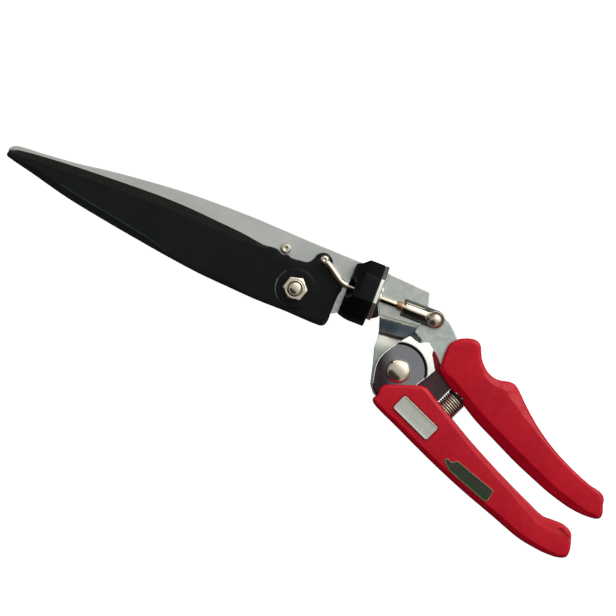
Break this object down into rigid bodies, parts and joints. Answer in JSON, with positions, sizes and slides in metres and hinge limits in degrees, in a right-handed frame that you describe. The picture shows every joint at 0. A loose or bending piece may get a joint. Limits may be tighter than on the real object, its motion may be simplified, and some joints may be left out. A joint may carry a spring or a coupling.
{
  "type": "grass shears",
  "caption": "One-hand grass shears with a black-coated moving blade on a steel blade, a swivelling octagonal head, a wire pull rod and a sprung pair of red grips, shown closed.",
  "frame": {"origin": "centre of the flat rear end of the main pivot rivet, on the axis the lever turns about", "axes": "+X along the swivel axis from the blades to the grips, +Z towards the side with the blade nut and the connector, +Y towards the spine of the fixed blade"},
  "size_m": [0.3222, 0.0989, 0.03],
  "materials": {
    "black_coat": "satin black non-stick coating",
    "blade_steel": "ground steel",
    "zinc_steel": "satin zinc plate",
    "bright_plate": "bright plate",
    "nickel": "polished nickel",
    "brass_collar": "turned, slightly tarnished",
    "block_black": "satin black on die-cast metal",
    "grip_red": "semi-gloss moulded vinyl",
    "spring_steel": "drawn wire",
    "badge_silver": "satin",
    "label_green": "printed film",
    "lever_steel": "zinc plate"
  },
  "bodies": {
    "frame": {"frame_plate": "zinc_steel", "near_cheek_plate": "bright_plate", "lower_grip": "grip_red", "badge_plate": "badge_silver", "name_label": "label_green", "main_rivet": "nickel", "core_rivet": "zinc_steel", "spring_seat_lower": "nickel", "return_spring": "spring_steel"},
    "lever": {"lever_plate": "lever_steel", "upper_grip": "grip_red", "spring_seat_upper": "nickel", "connector_rivet": "nickel", "pivot_bush": "brass_collar"},
    "head": {"swivel_block": "block_black", "fixed_blade": "blade_steel", "stop_pin": "nickel", "blade_bolt": "nickel", "blade_nut": "nickel", "blade_washer": "nickel", "tang_pin_front": "spring_steel", "tang_pin_rear": "spring_steel", "detent_spring": "spring_steel", "swivel_sleeve": "nickel"},
    "blade": {"moving_blade": "black_coat"},
    "detent": {"detent_ball": "nickel"},
    "rod_end": {"rod_collar": "brass_collar"},
    "rod": {"pull_rod": "nickel"},
    "connector": {"connector_barrel": "nickel", "connector_shoe": "lever_steel"}
  },
  "joints": [
    {"name": "lever_pivot", "type": "hinge", "parent": "frame", "child": "lever", "pos_m": [0, 0, 0.005], "axis": [0, 0, 1], "range_deg": [0, 15], "deforming": ["return_spring"]},
    {"name": "head_swivel", "type": "hinge", "parent": "frame", "child": "head", "pos_m": [-0.0236, 0.0288, 0.012], "axis": [1, 0, 0], "continuous": true},
    {"name": "blade_pivot", "type": "hinge", "parent": "head", "child": "blade", "pos_m": [-0.0592, 0.0188, 0.0093], "axis": [0, 0, 1], "range_deg": [0, 24]},
    {"name": "rod_slide", "type": "slide", "parent": "head", "child": "rod_end", "axis": [-1, 0, 0], "range_m": [0, 0.0078]},
    {"name": "rod_tilt", "type": "hinge", "parent": "rod_end", "child": "rod", "pos_m": [-0.005, 0.0288, 0.012], "axis": [0, 0, -1], "range_deg": [0, 2.5]},
    {"name": "connector_slide", "type": "slide", "parent": "frame", "child": "connector", "axis": [-1, 0, 0], "range_m": [0, 0.0078]},
    {"name": "detent_push", "type": "slide", "parent": "head", "child": "detent", "axis": [-1, 0, 0], "range_m": [0, 0.0003], "deforming": ["detent_spring"]}
  ],
  "couplings": [
    {"joint": "blade_pivot", "follows": "lever_pivot", "ratio": 1.57},
    {"joint": "rod_slide", "follows": "lever_pivot", "m_per_rad": 0.0292},
    {"joint": "rod_tilt", "follows": "lever_pivot", "ratio": 0.16},
    {"joint": "connector_slide", "follows": "lever_pivot", "m_per_rad": 0.0292}
  ]
}
